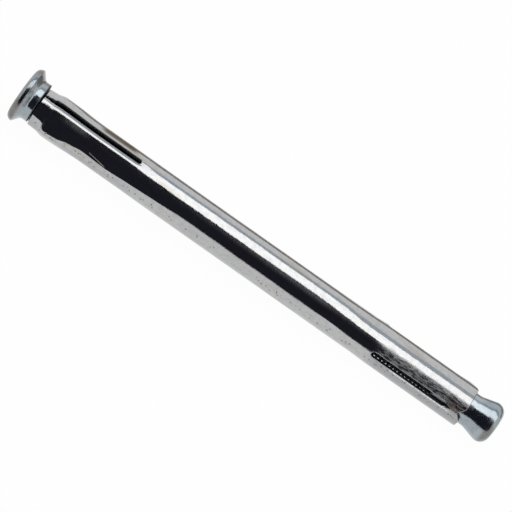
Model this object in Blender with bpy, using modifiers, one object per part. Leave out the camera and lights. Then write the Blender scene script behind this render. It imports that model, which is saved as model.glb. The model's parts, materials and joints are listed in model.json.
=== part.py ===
"""A metal frame anchor: a screw with a trumpet head, a sleeve rolled from sheet steel and a cone nut.

It lies on its side as it comes to rest, on the rim of the head and on the flare of the nut, with the
sleeve hanging on the screw. Each piece is drawn along its own +Z, from the head to the tip, and an
empty lays that axis along the world's +X.
"""

from math import acos, atan, cos, pi, radians, sin, tan

import bmesh
import bpy

MM = 0.001

# Sleeve: a rolled sheet with a butt seam, sizes along it measured from its head end
SLEEVE_LENGTH = 112.0 * MM
SHEET_THICKNESS = 0.8 * MM
BODY_RADIUS = 4.7 * MM
TIP_ZONE_RADIUS = 4.8 * MM
TIP_ZONE_LENGTH = 24.0 * MM
TIP_ZONE_STEP = 3.0 * MM
MOUTH_RADIUS = 4.5 * MM
MOUTH_LENGTH = 1.8 * MM
MOUTH_TAPER = 0.1 * MM
SWELL_RADIUS = 5.03 * MM
SWELL_START = 4.0 * MM
SWELL_CREST = 0.4 * MM
SWELL_END = 14.0 * MM
SEAM_GAP = 0.3 * MM

# Slots: three at each end, the head's set turned from the tip's by about half a pitch
SLOT_COUNT = 3
TIP_SLOT_ANGLE = radians(-108.4)
TIP_SLOT_WIDTH = 1.46 * MM
TIP_SLOT_LENGTH = 23.6 * MM
TIP_SLIT_WIDTH = 0.08 * MM
TIP_SLIT_END = 2.9 * MM
TIP_SLOT_SHOULDER = 2.2 * MM
TIP_NOTCH_WIDTH = 3.5 * MM
TIP_NOTCH_DEPTH = 1.3 * MM
HEAD_SLOT_TURN = radians(55.0)
HEAD_SLOT_WIDTH = 1.2 * MM
HEAD_SLOT_LENGTH = 25.0 * MM
HEAD_SLIT_WIDTH = 0.3 * MM
HEAD_SLOT_OPENING = 3.5 * MM

# Screw: sizes along it measured from the front face of its head
HEAD_RADIUS = 6.5 * MM
HEAD_FACE_RADIUS = 5.1 * MM
HEAD_EDGE_DEPTH = 1.4 * MM
HEAD_LAND = 0.1 * MM
FLARE_ANGLE = radians(52.0)
FLARE_FILLET = 0.9 * MM
NECK_RADIUS = 4.75 * MM
NECK_LENGTH = 1.1 * MM
NECK_EDGE_RADIUS = 0.12 * MM
SHANK_RADIUS = 2.65 * MM
SHANK_FILLET = 0.3 * MM
THREAD_RADIUS = 2.95 * MM
THREAD_LENGTH = 42.0 * MM
THREAD_CHAMFER = 0.6 * MM
THREAD_RUNOUT = 0.5 * MM
SCREW_END_DOME = 0.15 * MM

# Cross recess in the front face of the head
RECESS_DEPTH = 3.4 * MM
RECESS_SPAN = 7.4 * MM
RECESS_FLOOR_SPAN = 3.4 * MM
RECESS_WING_WIDTH = 1.9 * MM
RECESS_WING_FLOOR_WIDTH = 1.3 * MM
RECESS_CORE_RADIUS = 1.75 * MM
RECESS_CORE_FLOOR_RADIUS = 0.8 * MM
RECESS_TURN = radians(20.0)

# Cone nut: sizes along it measured from its narrow end
NUT_INSIDE_LENGTH = 8.4 * MM
NUT_NECK_RADIUS = 3.82 * MM
NUT_NECK_OUTSIDE = 1.0 * MM
NUT_LEAD_CHAMFER = 0.45 * MM
NUT_RADIUS = 4.8 * MM
NUT_CONE_ANGLE = radians(15.0)
NUT_CONE_FILLET = 3.0 * MM
NUT_END_ROUNDING = 2.2 * MM
NUT_BORE_CHAMFER = 0.25 * MM

# Fits
HEAD_TO_SLEEVE_GAP = 0.3 * MM
SEAT_GAP = 0.3 * MM
THREAD_CLEARANCE = 0.08 * MM

# Fineness of round shapes
SLEEVE_STEPS = 80
TURNED_STEPS = 56
RECESS_CORE_STEPS = 24
SLOT_END_POINTS = 8
BLEND_POINTS = 5
FILLET_POINTS = 2
NUT_END_POINTS = 7
CUTTER_OVERRUN = 1.0 * MM
CRISP_ANGLE = radians(35.0)

# Finishes: colour and roughness
SHEET_FINISH = ((0.80, 0.79, 0.76), 0.16)
SCREW_FINISH = ((0.70, 0.73, 0.76), 0.24)
NUT_FINISH = ((0.70, 0.73, 0.76), 0.22)

# Sizes that follow from the ones above
HEAD_RIM_BACK = HEAD_EDGE_DEPTH + HEAD_LAND
FLARE_FILLET_RISE = FLARE_FILLET * (1 - cos(FLARE_ANGLE))
FLARE_FILLET_RUN = FLARE_FILLET * sin(FLARE_ANGLE)
FLARE_RUN = (HEAD_RADIUS - NECK_RADIUS - FLARE_FILLET_RISE) / tan(FLARE_ANGLE)
NECK_START = HEAD_RIM_BACK + FLARE_RUN + FLARE_FILLET_RUN
HEAD_LENGTH = NECK_START + NECK_LENGTH
SLEEVE_START = HEAD_LENGTH + HEAD_TO_SLEEVE_GAP
SLEEVE_END = SLEEVE_START + SLEEVE_LENGTH
NUT_START = SLEEVE_END - NUT_INSIDE_LENGTH
NUT_BORE_RADIUS = THREAD_RADIUS + THREAD_CLEARANCE
CONE_START = NUT_INSIDE_LENGTH + NUT_NECK_OUTSIDE
CONE_FILLET_RISE = NUT_CONE_FILLET * (1 - cos(NUT_CONE_ANGLE))
CONE_FILLET_RUN = NUT_CONE_FILLET * sin(NUT_CONE_ANGLE)
CONE_TOP_DROP = NUT_END_ROUNDING * (1 - cos(NUT_CONE_ANGLE))
CONE_TOP_RUN = NUT_END_ROUNDING * sin(NUT_CONE_ANGLE)
CONE_RISE = NUT_RADIUS - NUT_NECK_RADIUS - CONE_FILLET_RISE - CONE_TOP_DROP
NUT_WIDEST = CONE_START + CONE_FILLET_RUN + CONE_RISE / tan(NUT_CONE_ANGLE) + CONE_TOP_RUN
NUT_LENGTH = NUT_WIDEST + NUT_END_ROUNDING
SCREW_LENGTH = NUT_START + NUT_LENGTH
SLOT_PITCH = 2 * pi / SLOT_COUNT
HEAD_SLOT_ANGLE = TIP_SLOT_ANGLE + HEAD_SLOT_TURN
SEAM_ANGLE = HEAD_SLOT_ANGLE + (SLOT_PITCH - HEAD_SLOT_TURN) / 2
SLEEVE_SAG = MOUTH_RADIUS - SHEET_THICKNESS - SHANK_RADIUS - SEAT_GAP
SLEEVE_PIVOT = SLEEVE_LENGTH - NUT_INSIDE_LENGTH / 2
FACET = pi / TURNED_STEPS
REST_TILT = atan((HEAD_RADIUS - NUT_RADIUS) * cos(FACET) / (NUT_START + NUT_WIDEST - HEAD_RIM_BACK))
REST_HEIGHT = HEAD_RADIUS * cos(FACET) * cos(REST_TILT) + HEAD_RIM_BACK * sin(REST_TILT)
REST_START = HEAD_FACE_RADIUS * cos(FACET) * sin(REST_TILT)
REST_LENGTH = (SCREW_LENGTH + SCREW_END_DOME) * cos(REST_TILT) + REST_START


def clear_scene():
    for item in list(bpy.data.objects):
        bpy.data.objects.remove(item, do_unlink=True)


def make_collection(name):
    group = bpy.data.collections.new(name)
    bpy.context.scene.collection.children.link(group)
    return group


def steel(name, finish):
    colour, roughness = finish
    material = bpy.data.materials.new(name)
    material.use_nodes = True
    surface = material.node_tree.nodes["Principled BSDF"]
    surface.inputs["Base Color"].default_value = (*colour, 1.0)
    surface.inputs["Metallic"].default_value = 1.0
    surface.inputs["Roughness"].default_value = roughness
    return material


def add_empty(name, location, rotation, parent=None):
    empty = bpy.data.objects.new(name, None)
    empty.empty_display_size = 5 * MM
    empty.location = location
    empty.rotation_euler = rotation
    empty.parent = parent
    PARTS.objects.link(empty)
    return empty


def ellipse_arc(centre, half_sizes, start, end, count):
    """Points (radius, length) on an ellipse, from one angle to the other, both ends included."""
    points = []
    for step in range(count + 1):
        angle = start + (end - start) * step / count
        points.append((centre[0] + half_sizes[0] * cos(angle), centre[1] + half_sizes[1] * sin(angle)))
    return points


def smooth_blend(first, last, count):
    """Points that leave first and reach last along the axis, with a half cosine between them."""
    points = []
    for step in range(count + 1):
        share = step / count
        ease = (1 - cos(pi * share)) / 2
        radius = first[0] + (last[0] - first[0]) * ease
        points.append((radius, first[1] + (last[1] - first[1]) * share))
    return points


def without_repeats(points):
    kept = [points[0]]
    for point in points[1:]:
        if abs(point[0] - kept[-1][0]) + abs(point[1] - kept[-1][1]) > 0.001 * MM:
            kept.append(point)
    return kept


def profile_object(name, points, parent, closed=False):
    """A chain of edges in the XZ plane, given as (radius, length), for a Screw modifier."""
    mesh = bpy.data.meshes.new(name)
    shape = bmesh.new()
    corners = [shape.verts.new((radius, 0, length)) for radius, length in without_repeats(points)]
    for first, second in zip(corners, corners[1:]):
        shape.edges.new((first, second))
    if closed:
        shape.edges.new((corners[-1], corners[0]))
    shape.to_mesh(mesh)
    shape.free()
    item = bpy.data.objects.new(name, mesh)
    item.parent = parent
    PARTS.objects.link(item)
    return item


def revolve(item, steps, angle=2 * pi):
    screw = item.modifiers.new("revolve", "SCREW")
    screw.axis = "Z"
    screw.angle = angle
    screw.steps = steps
    screw.render_steps = steps
    screw.use_merge_vertices = True
    screw.merge_threshold = 0.0005 * MM
    screw.use_smooth_shade = True
    return screw


def cut(item, cutter):
    boolean = item.modifiers.new(cutter.name, "BOOLEAN")
    boolean.operation = "DIFFERENCE"
    boolean.solver = "EXACT"
    boolean.object = cutter


def settle(item, material):
    """The piece's own mesh becomes what its modifiers give, smooth on round sides and crisp at edges."""
    bpy.context.view_layer.update()
    graph = bpy.context.evaluated_depsgraph_get()
    mesh = bpy.data.meshes.new_from_object(item.evaluated_get(graph))
    item.modifiers.clear()
    item.data = mesh
    mesh.materials.clear()
    mesh.materials.append(material)
    mesh.shade_smooth()
    mesh.set_sharp_from_angle(angle=CRISP_ANGLE)


def hide_cutter(cutter):
    cutter.hide_render = True
    cutter.display_type = "WIRE"


def mesh_from_outline(name, outline, half_depth):
    """A flat closed outline, filled, given its depth and turned into a welded mesh."""
    curve = bpy.data.curves.new(name, "CURVE")
    curve.dimensions = "2D"
    curve.fill_mode = "BOTH"
    curve.extrude = half_depth
    spline = curve.splines.new("POLY")
    spline.points.add(len(outline) - 1)
    for point, (x, y) in zip(spline.points, outline):
        point.co = (x, y, 0, 1)
    spline.use_cyclic_u = True
    source = bpy.data.objects.new(name + "_curve", curve)
    CUTTERS.objects.link(source)
    graph = bpy.context.evaluated_depsgraph_get()
    mesh = bpy.data.meshes.new_from_object(source.evaluated_get(graph))
    bpy.data.objects.remove(source, do_unlink=True)
    shape = bmesh.new()
    shape.from_mesh(mesh)
    bmesh.ops.remove_doubles(shape, verts=shape.verts, dist=0.001 * MM)
    bmesh.ops.recalc_face_normals(shape, faces=shape.faces)
    shape.to_mesh(mesh)
    shape.free()
    return mesh


def mirrored_outline(half):
    """Closes an outline whose half is given as (along, across) with across above zero."""
    return half + [(along, -across) for along, across in reversed(half) if across > 0]


def slot_end(length, width):
    """The round inner end of a slot, from its side to its middle."""
    half_width = width / 2
    points = []
    for step in range(SLOT_END_POINTS + 1):
        angle = pi / 2 * (1 - step / SLOT_END_POINTS)
        points.append((length - half_width + half_width * cos(angle), half_width * sin(angle)))
    points[-1] = (length, 0.0)
    return points


def head_slot_outline():
    """From the crimped mouth, where the edges nearly meet, to the round end inside."""
    half = [
        (-CUTTER_OVERRUN, HEAD_SLIT_WIDTH / 2),
        (0.0, HEAD_SLIT_WIDTH / 2),
        (HEAD_SLOT_OPENING, HEAD_SLOT_WIDTH / 2),
    ]
    return mirrored_outline(half + slot_end(HEAD_SLOT_LENGTH, HEAD_SLOT_WIDTH))


def tip_slot_outline():
    """From the notch at the tip, through a slit whose edges nearly touch, to the round end inside."""
    notch_slope = (TIP_NOTCH_WIDTH - TIP_SLIT_WIDTH) / 2 / TIP_NOTCH_DEPTH
    half = [
        (-CUTTER_OVERRUN, TIP_NOTCH_WIDTH / 2 + notch_slope * CUTTER_OVERRUN),
        (TIP_NOTCH_DEPTH, TIP_SLIT_WIDTH / 2),
        (TIP_SLIT_END, TIP_SLIT_WIDTH / 2),
        (TIP_SLIT_END + TIP_SLOT_SHOULDER, TIP_SLOT_WIDTH / 2),
    ]
    return mirrored_outline(half + slot_end(TIP_SLOT_LENGTH, TIP_SLOT_WIDTH))


def slot_cutters(name, outline, start, direction, first_angle, parent):
    """One cutter a slot: its flat outline runs along the axis, from the axis out through one wall."""
    half_depth = (SWELL_RADIUS + CUTTER_OVERRUN) / 2
    mesh = mesh_from_outline(name, outline, half_depth)
    cutters = []
    for number in range(SLOT_COUNT):
        angle = first_angle + number * SLOT_PITCH
        cutter = bpy.data.objects.new(f"{name}_{number + 1}", mesh)
        cutter.location = (half_depth * cos(angle), half_depth * sin(angle), start)
        cutter.rotation_euler = (0, -pi / 2 * direction, angle)
        cutter.parent = parent
        hide_cutter(cutter)
        CUTTERS.objects.link(cutter)
        cutters.append(cutter)
    return cutters


def sleeve_profile():
    """The outer side of the rolled sheet, from its head end to its tip."""
    tip_zone = SLEEVE_LENGTH - TIP_ZONE_LENGTH
    mouth_end = (MOUTH_RADIUS + MOUTH_TAPER, MOUTH_LENGTH)
    crest_end = (SWELL_RADIUS, SWELL_START + SWELL_CREST)
    points = [(MOUTH_RADIUS, 0.0)]
    points += smooth_blend(mouth_end, (SWELL_RADIUS, SWELL_START), BLEND_POINTS)
    points += smooth_blend(crest_end, (BODY_RADIUS, SWELL_END), BLEND_POINTS)
    step_start = (BODY_RADIUS, tip_zone - TIP_ZONE_STEP)
    points += smooth_blend(step_start, (TIP_ZONE_RADIUS, tip_zone), FILLET_POINTS)
    points.append((TIP_ZONE_RADIUS, SLEEVE_LENGTH))
    return points


def make_sleeve(axis):
    """The sheet is an open surface of revolution, one seam short of a full turn, given its thickness."""
    sag_tilt = atan(SLEEVE_SAG / SLEEVE_PIVOT)
    frame = add_empty("sleeve_axis", (SLEEVE_SAG, 0, SLEEVE_START), (0, -sag_tilt, 0), axis)
    seam_turn = SEAM_GAP / BODY_RADIUS
    sleeve = profile_object("sleeve", list(reversed(sleeve_profile())), frame)
    sleeve.rotation_euler = (0, 0, SEAM_ANGLE + seam_turn / 2)
    revolve(sleeve, SLEEVE_STEPS, 2 * pi - seam_turn)
    wall = sleeve.modifiers.new("sheet", "SOLIDIFY")
    wall.thickness = SHEET_THICKNESS
    wall.offset = -1
    wall.use_even_offset = True
    head_slots = slot_cutters("head_slot", head_slot_outline(), 0.0, 1, HEAD_SLOT_ANGLE, frame)
    tip_slots = slot_cutters("tip_slot", tip_slot_outline(), SLEEVE_LENGTH, -1, TIP_SLOT_ANGLE, frame)
    for cutter in head_slots + tip_slots:
        cut(sleeve, cutter)
    settle(sleeve, steel("bright_zinc", SHEET_FINISH))
    return sleeve


def tapered_blade(name, spans, widths):
    """A block from above the front face to the floor of the recess, narrower at its floor."""
    mesh = bpy.data.meshes.new(name)
    shape = bmesh.new()
    bmesh.ops.create_cube(shape, size=1)
    slope = (spans[0] - spans[1]) / RECESS_DEPTH
    for corner in shape.verts:
        at_floor = corner.co.z > 0
        span = spans[1] if at_floor else spans[0] + slope * CUTTER_OVERRUN
        width = widths[1] if at_floor else widths[0]
        corner.co.x *= span
        corner.co.y *= width
        corner.co.z = RECESS_DEPTH if at_floor else -CUTTER_OVERRUN
    shape.to_mesh(mesh)
    shape.free()
    return mesh


def recess_cutters(parent):
    """Two crossed tapered blades and a cone in the middle, as the punch that forms the recess."""
    spans = (RECESS_SPAN, RECESS_FLOOR_SPAN)
    widths = (RECESS_WING_WIDTH, RECESS_WING_FLOOR_WIDTH)
    blade = tapered_blade("recess_blade", spans, widths)
    cutters = []
    for number in range(2):
        cutter = bpy.data.objects.new(f"recess_blade_{number + 1}", blade)
        cutter.rotation_euler = (0, 0, RECESS_TURN + number * pi / 2)
        cutters.append(cutter)
    core_mesh = bpy.data.meshes.new("recess_core")
    shape = bmesh.new()
    bmesh.ops.create_cone(
        shape,
        cap_ends=True,
        segments=RECESS_CORE_STEPS,
        radius1=RECESS_CORE_RADIUS,
        radius2=RECESS_CORE_FLOOR_RADIUS,
        depth=RECESS_DEPTH + CUTTER_OVERRUN,
    )
    bmesh.ops.translate(shape, verts=shape.verts, vec=(0, 0, (RECESS_DEPTH - CUTTER_OVERRUN) / 2))
    shape.to_mesh(core_mesh)
    shape.free()
    cutters.append(bpy.data.objects.new("recess_core", core_mesh))
    for cutter in cutters:
        cutter.parent = parent
        hide_cutter(cutter)
        CUTTERS.objects.link(cutter)
    return cutters


def arc(centre, radius, start, end, count=BLEND_POINTS):
    return ellipse_arc(centre, (radius, radius), start, end, count)


def screw_profile():
    """The outer side of the screw, from the middle of its front face to the middle of its end."""
    edge_centre = (HEAD_FACE_RADIUS, HEAD_EDGE_DEPTH)
    edge_sizes = (HEAD_RADIUS - HEAD_FACE_RADIUS, HEAD_EDGE_DEPTH)
    flare_centre = (NECK_RADIUS + FLARE_FILLET, NECK_START)
    neck_edge = (NECK_RADIUS - NECK_EDGE_RADIUS, HEAD_LENGTH - NECK_EDGE_RADIUS)
    shank_corner = (SHANK_RADIUS + SHANK_FILLET, HEAD_LENGTH + SHANK_FILLET)
    thread_start = SCREW_LENGTH - THREAD_LENGTH
    points = [(0.0, 0.0)]
    points += ellipse_arc(edge_centre, edge_sizes, -pi / 2, 0, BLEND_POINTS)
    points.append((HEAD_RADIUS, HEAD_RIM_BACK))
    points += arc(flare_centre, FLARE_FILLET, FLARE_ANGLE - pi, -pi)
    points += arc(neck_edge, NECK_EDGE_RADIUS, 0, pi / 2, FILLET_POINTS)
    points += arc(shank_corner, SHANK_FILLET, -pi / 2, -pi, FILLET_POINTS)
    points.append((SHANK_RADIUS, thread_start))
    points.append((THREAD_RADIUS, thread_start + THREAD_RUNOUT))
    points.append((THREAD_RADIUS, SCREW_LENGTH - THREAD_CHAMFER))
    points.append((THREAD_RADIUS - THREAD_CHAMFER, SCREW_LENGTH))
    points.append((0.0, SCREW_LENGTH + SCREW_END_DOME))
    return points


def make_screw(axis):
    screw = profile_object("screw", list(reversed(screw_profile())), axis)
    screw.rotation_euler = (0, 0, FACET)
    revolve(screw, TURNED_STEPS)
    for cutter in recess_cutters(axis):
        cut(screw, cutter)
    settle(screw, steel("blue_zinc", SCREW_FINISH))
    return screw


def nut_profile():
    """A closed loop: up the outer side from the narrow end, over the round end and back down the bore."""
    fillet_centre = (NUT_NECK_RADIUS + NUT_CONE_FILLET, CONE_START)
    end_centre = (NUT_RADIUS - NUT_END_ROUNDING, NUT_WIDEST)
    mouth_radius = NUT_BORE_RADIUS + NUT_BORE_CHAMFER
    mouth_angle = acos((mouth_radius - end_centre[0]) / NUT_END_ROUNDING)
    bore_end = NUT_WIDEST + NUT_END_ROUNDING * sin(mouth_angle) - NUT_BORE_CHAMFER
    points = [(mouth_radius, 0.0), (NUT_NECK_RADIUS - NUT_LEAD_CHAMFER, 0.0)]
    points.append((NUT_NECK_RADIUS, NUT_LEAD_CHAMFER))
    points += arc(fillet_centre, NUT_CONE_FILLET, pi, pi - NUT_CONE_ANGLE, FILLET_POINTS)
    points += arc(end_centre, NUT_END_ROUNDING, -NUT_CONE_ANGLE, mouth_angle, NUT_END_POINTS)
    points.append((NUT_BORE_RADIUS, bore_end))
    points.append((NUT_BORE_RADIUS, NUT_BORE_CHAMFER))
    return points


def make_cone_nut(axis):
    frame = add_empty("nut_axis", (0, 0, NUT_START), (0, 0, 0), axis)
    nut = profile_object("cone_nut", list(reversed(nut_profile())), frame, closed=True)
    nut.rotation_euler = (0, 0, FACET)
    revolve(nut, TURNED_STEPS)
    settle(nut, steel("blue_zinc_nut", NUT_FINISH))
    return nut


clear_scene()
PARTS = make_collection("frame_anchor")
CUTTERS = make_collection("cutters")
anchor_place = (REST_START - REST_LENGTH / 2, 0, REST_HEIGHT)
anchor_axis = add_empty("anchor_axis", anchor_place, (0, pi / 2 + REST_TILT, 0))
make_sleeve(anchor_axis)
make_screw(anchor_axis)
make_cone_nut(anchor_axis)
bpy.context.view_layer.update()
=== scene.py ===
# %% [markdown]
# # A metal frame anchor, dressed for its picture
#
# The anchor holds a door or window frame to a wall. A screw with a trumpet head runs through a sleeve
# rolled from sheet steel, and a cone nut sits on its thread in the sleeve's tip. Turning the screw
# draws the nut in, and the nut's cone spreads the slotted tip against the wall.
#
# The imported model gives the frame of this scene: its bodies, its joints and its size. Each of its three
# plain solids gets a finer piece here that stands for it and moves with the same body.

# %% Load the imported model
import json
from math import acos, atan, atan2, cos, degrees, pi, radians, sin, tan

import bmesh
import bpy
from mathutils import Matrix, Vector


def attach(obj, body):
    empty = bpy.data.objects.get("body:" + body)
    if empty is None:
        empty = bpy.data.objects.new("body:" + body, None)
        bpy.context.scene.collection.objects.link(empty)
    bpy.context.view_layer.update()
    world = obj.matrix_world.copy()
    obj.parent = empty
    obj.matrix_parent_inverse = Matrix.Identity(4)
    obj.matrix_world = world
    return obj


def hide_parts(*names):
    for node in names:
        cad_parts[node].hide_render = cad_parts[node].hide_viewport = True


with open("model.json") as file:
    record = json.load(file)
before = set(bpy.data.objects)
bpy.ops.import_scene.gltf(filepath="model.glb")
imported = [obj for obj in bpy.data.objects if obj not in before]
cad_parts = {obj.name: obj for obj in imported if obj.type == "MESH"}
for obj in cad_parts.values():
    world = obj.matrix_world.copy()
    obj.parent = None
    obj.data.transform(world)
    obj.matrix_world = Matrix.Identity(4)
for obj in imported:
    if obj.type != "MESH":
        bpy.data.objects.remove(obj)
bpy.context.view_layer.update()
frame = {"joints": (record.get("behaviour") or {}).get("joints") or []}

SCENE = bpy.context.scene

# %% [markdown]
# ## The axis that everything is built along
#
# The anchor lies on its side, on the rim of its head and the flare of its nut, so its axis slopes a
# little to the tip. Every piece is turned or rolled, which is easiest to draw upright: along its own
# +Z, in millimetres, from the head to the tip. One matrix then lays the drawing on the joint's axis,
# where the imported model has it, and brings it to metres. The finished object needs no turn of its own.

# %% From the drawing to its place
MM = 0.001
turning = next(joint for joint in frame["joints"] if joint["name"] == "screw_turn")
AXIS_START = Vector(turning["pos_m"])
AXIS = Vector(turning["axis"]).normalized()
REST_TILT = atan2(-AXIS.z, AXIS.x)
ANCHOR_PLACE = (
    Matrix.Translation(AXIS_START) @ Matrix.Rotation(pi / 2 + REST_TILT, 4, "Y") @ Matrix.Scale(MM, 4)
)
print("the axis slopes", round(degrees(REST_TILT), 3), "degrees down to the tip")

# %% [markdown]
# ## The sizes
#
# They are the part's own, in millimetres. Lengths on the screw are measured from the face of its head,
# on the sleeve from its head end, and on the nut from its narrow end.

# %% Sizes of the sleeve
SLEEVE_LENGTH = 112.0
SHEET = 0.8
BODY_RADIUS = 4.7
TIP_ZONE_RADIUS = 4.8
TIP_ZONE_LENGTH = 24.0
TIP_ZONE_STEP = 3.0
MOUTH_RADIUS = 4.5
MOUTH_LENGTH = 1.8
MOUTH_TAPER = 0.1
SWELL_RADIUS = 5.03
SWELL_START = 4.0
SWELL_CREST = 0.4
SWELL_END = 14.0
SEAM_GAP = 0.3

SLOT_COUNT = 3
SLOT_PITCH = 2 * pi / SLOT_COUNT
TIP_SLOT_ANGLE = radians(-108.4)
TIP_SLOT_WIDTH = 1.46
TIP_SLOT_LENGTH = 23.6
TIP_SLIT_WIDTH = 0.08
TIP_SLIT_END = 2.9
TIP_SLOT_SHOULDER = 2.2
TIP_NOTCH_WIDTH = 3.5
TIP_NOTCH_DEPTH = 1.3
HEAD_SLOT_TURN = radians(55.0)
HEAD_SLOT_ANGLE = TIP_SLOT_ANGLE + HEAD_SLOT_TURN
HEAD_SLOT_WIDTH = 1.2
HEAD_SLOT_LENGTH = 25.0
HEAD_SLIT_WIDTH = 0.3
HEAD_SLOT_OPENING = 3.5
SEAM_ANGLE = HEAD_SLOT_ANGLE + (SLOT_PITCH - HEAD_SLOT_TURN) / 2

print("the slots at the head lie", round(degrees(HEAD_SLOT_TURN)), "degrees from those at the tip")

# %% [markdown]
# ### The screw's own sizes
#
# The head is a trumpet: a rounded rim, a flare with a fillet at its foot, and a short neck. The lengths
# of the flare follow from its angle and the radii that it joins, so its outline stays smooth when one
# of them is changed.

# %% Sizes of the screw
HEAD_RADIUS = 6.5
HEAD_FACE_RADIUS = 5.1
HEAD_EDGE_DEPTH = 1.4
HEAD_LAND = 0.1
FLARE_ANGLE = radians(52.0)
FLARE_FILLET = 0.9
NECK_RADIUS = 4.75
NECK_LENGTH = 1.1
NECK_EDGE_RADIUS = 0.12
SHANK_RADIUS = 2.65
SHANK_FILLET = 0.3
THREAD_RADIUS = 2.95
THREAD_ROOT_RADIUS = 2.4
THREAD_PITCH = 1.0
THREAD_FLANK_ANGLE = radians(30.0)
THREAD_CREST_SHARE = 0.125
THREAD_LENGTH = 42.0
THREAD_CHAMFER = 0.6
SCREW_END_DOME = 0.15
RECESS_DEPTH = 3.4
RECESS_SPAN = 7.4
RECESS_FLOOR_SPAN = 3.4
RECESS_WING_WIDTH = 1.9
RECESS_WING_FLOOR_WIDTH = 1.3
RECESS_CORE_RADIUS = 1.75
RECESS_CORE_FLOOR_RADIUS = 0.8
RECESS_TURN = radians(20.0)

HEAD_RIM_BACK = HEAD_EDGE_DEPTH + HEAD_LAND
FLARE_FILLET_RISE = FLARE_FILLET * (1 - cos(FLARE_ANGLE))
FLARE_FILLET_RUN = FLARE_FILLET * sin(FLARE_ANGLE)
FLARE_RUN = (HEAD_RADIUS - NECK_RADIUS - FLARE_FILLET_RISE) / tan(FLARE_ANGLE)
NECK_START = HEAD_RIM_BACK + FLARE_RUN + FLARE_FILLET_RUN
HEAD_LENGTH = NECK_START + NECK_LENGTH
print("the head is", round(HEAD_LENGTH, 3), "mm long")

# %% [markdown]
# ### The nut's sizes, and how the pieces stand in each other
#
# The nut's cone runs from a fillet at its foot to a rounding at its end, and its length follows from
# its angle. The sleeve's narrow mouth is still wider than the shank, so the sleeve hangs on it there,
# while the nut holds it in the middle at the tip: it is tilted a little against the screw.

# %% Sizes of the cone nut
NUT_INSIDE_LENGTH = 8.4
NUT_NECK_RADIUS = 3.82
NUT_NECK_OUTSIDE = 1.0
NUT_LEAD_CHAMFER = 0.45
NUT_RADIUS = 4.8
NUT_CONE_ANGLE = radians(15.0)
NUT_CONE_FILLET = 3.0
NUT_END_ROUNDING = 2.2
NUT_BORE_CHAMFER = 0.25
THREAD_CLEARANCE = 0.08
HEAD_TO_SLEEVE_GAP = 0.3
SEAT_GAP = 0.3

SLEEVE_START = HEAD_LENGTH + HEAD_TO_SLEEVE_GAP
NUT_START = SLEEVE_START + SLEEVE_LENGTH - NUT_INSIDE_LENGTH
CONE_START = NUT_INSIDE_LENGTH + NUT_NECK_OUTSIDE
CONE_FILLET_RISE = NUT_CONE_FILLET * (1 - cos(NUT_CONE_ANGLE))
CONE_FILLET_RUN = NUT_CONE_FILLET * sin(NUT_CONE_ANGLE)
CONE_TOP_DROP = NUT_END_ROUNDING * (1 - cos(NUT_CONE_ANGLE))
CONE_TOP_RUN = NUT_END_ROUNDING * sin(NUT_CONE_ANGLE)
CONE_RISE = NUT_RADIUS - NUT_NECK_RADIUS - CONE_FILLET_RISE - CONE_TOP_DROP
NUT_WIDEST = CONE_START + CONE_FILLET_RUN + CONE_RISE / tan(NUT_CONE_ANGLE) + CONE_TOP_RUN
NUT_LENGTH = NUT_WIDEST + NUT_END_ROUNDING
SCREW_LENGTH = NUT_START + NUT_LENGTH
SLEEVE_SAG = MOUTH_RADIUS - SHEET - SHANK_RADIUS - SEAT_GAP
SLEEVE_TILT = atan(SLEEVE_SAG / (SLEEVE_LENGTH - NUT_INSIDE_LENGTH / 2))

SLEEVE_PLACE = (
    ANCHOR_PLACE
    @ Matrix.Translation((SLEEVE_SAG, 0, SLEEVE_START))
    @ Matrix.Rotation(-SLEEVE_TILT, 4, "Y")
)
NUT_PLACE = ANCHOR_PLACE @ Matrix.Translation((0, 0, NUT_START))
print("the nut is", round(NUT_LENGTH, 3), "mm long, and the screw", round(SCREW_LENGTH, 3), "mm")
print("the sleeve hangs", round(SLEEVE_SAG, 3), "mm low at the head")

# %% [markdown]
# ## Two helpers for every piece
#
# Drawn points become the vertices and edges of a bmesh, which is what its operators work on. When a
# shape is done, its place goes into the mesh, and the object takes the body it moves with and its
# finishes, while the CAD node that it stands for is hidden.

# %% Points, curves and finished pieces
CRISP_ANGLE = radians(38.0)


def add_chain(shape, points, closed=False):
    """Vertices at the drawn points, joined by edges."""
    corners = [shape.verts.new(point) for point in points]
    pairs = list(zip(corners, corners[1:]))
    if closed:
        pairs.append((corners[-1], corners[0]))
    return corners, [shape.edges.new(pair) for pair in pairs]


def ease(share):
    """A half cosine: leaves 0 and reaches 1 without a kink."""
    return (1 - cos(pi * min(max(share, 0.0), 1.0))) / 2


def arc(centre, sizes, start, end, count):
    """Points (radius, 0, length) on an ellipse, both ends included."""
    points = []
    for step in range(count + 1):
        angle = start + (end - start) * step / count
        points.append((centre[0] + sizes[0] * cos(angle), 0, centre[1] + sizes[1] * sin(angle)))
    return points


def finish_piece(name, shape, place, body, node, finishes):
    """Lays a drawn shape in its place, hands it to its body and hides the node it stands for."""
    bmesh.ops.transform(shape, matrix=place, verts=shape.verts)
    mesh = bpy.data.meshes.new(name)
    shape.to_mesh(mesh)
    shape.free()
    mesh.shade_smooth()
    mesh.set_sharp_from_angle(angle=CRISP_ANGLE)
    piece = bpy.data.objects.new(name, mesh)
    SCENE.collection.objects.link(piece)
    for finish in finishes:
        mesh.materials.append(finish)
    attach(piece, body)
    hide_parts(node)
    print(name, "has", len(mesh.polygons), "faces")


# %% [markdown]
# ## A wrapper for shader maths
#
# A finish is a small calculation: grain times a mask, plus a tint. `Wire` holds one output of a node,
# and Python's own signs add the Math nodes, so that `1 - mask * 0.3` reads as what it is. Every other
# node comes from `Nodes.add`, which takes its settings first, because they decide what sockets it has.

# %% Wires and nodes


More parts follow.
